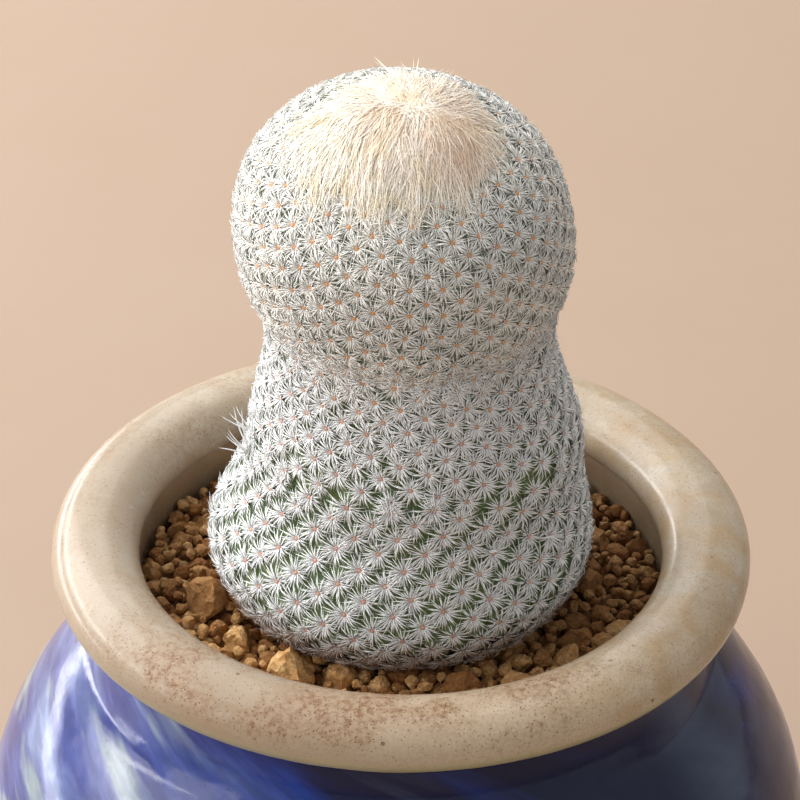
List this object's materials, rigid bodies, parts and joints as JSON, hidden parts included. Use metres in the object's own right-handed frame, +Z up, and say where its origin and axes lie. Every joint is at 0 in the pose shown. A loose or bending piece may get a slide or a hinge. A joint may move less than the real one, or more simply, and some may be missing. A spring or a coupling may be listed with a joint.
{
  "type": "potted cactus",
  "caption": "Small columnar cactus in stacked tiers, covered in white needle rosettes with a woolly crown, standing in clay grains in a round glazed jar.",
  "frame": {"origin": "centre of the jar's foot, on the plane it rests on", "axes": "+Z up along the jar's axis, -Y towards the side that the wool hangs down on"},
  "size_m": [0.092, 0.092, 0.1354],
  "materials": {
    "pot": "gloss blue body glaze with a cream speckled lip",
    "soil": "dry matte baked clay grains",
    "stem": "matte green skin under white needles",
    "wool": "silky cream hairs",
    "net": "black moulded net"
  },
  "bodies": {
    "root": {"pot": "pot", "soil": "soil", "cactus_stem": "stem", "crown_wool": "wool", "drain_screen": "net"}
  },
  "joints": []
}
